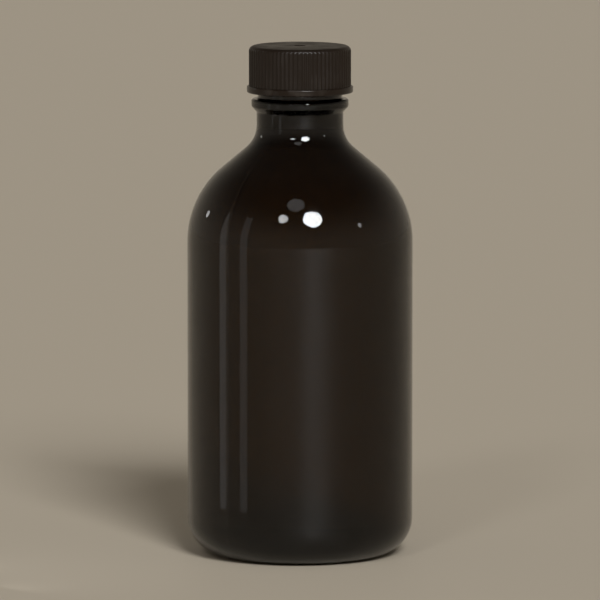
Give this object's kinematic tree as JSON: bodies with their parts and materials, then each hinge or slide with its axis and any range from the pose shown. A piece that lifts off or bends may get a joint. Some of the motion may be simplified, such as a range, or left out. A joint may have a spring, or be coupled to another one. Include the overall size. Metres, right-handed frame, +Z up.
{
  "type": "reagent bottle",
  "caption": "Round narrow-neck reagent bottle of dark amber glass, with a ribbed black screw cap on a raised thread and a lined seal that closes the mouth.",
  "frame": {"origin": "middle of the base, on the plane that the bottle stands on", "axes": "+Z up along the bottle's axis, towards the cap; X and Y level, with -Y the front"},
  "size_m": [0.077, 0.077, 0.1744],
  "materials": {
    "amber_glass": "glossy near-black brown glass",
    "black_cap": "satin black moulded plastic with a glossier bead",
    "foam": "off-white closed-cell foam",
    "film": "smooth white film"
  },
  "bodies": {
    "bottle": {"glass_bottle": "amber_glass"},
    "liner": {"liner_backing": "foam", "liner_facing": "film"},
    "cap": {"screw_cap": "black_cap"}
  },
  "joints": [
    {"name": "cap_rise", "type": "slide", "parent": "bottle", "child": "liner", "axis": [0, 0, 1], "range_m": [0, 0.0211]},
    {"name": "cap_turn", "type": "hinge", "parent": "liner", "child": "cap", "pos_m": [0, 0, 0.17084], "axis": [0, 0, 1], "range_deg": [0, 1800]}
  ],
  "couplings": [
    {"joint": "cap_rise", "follows": "cap_turn", "m_per_rad": 0.00066845}
  ]
}
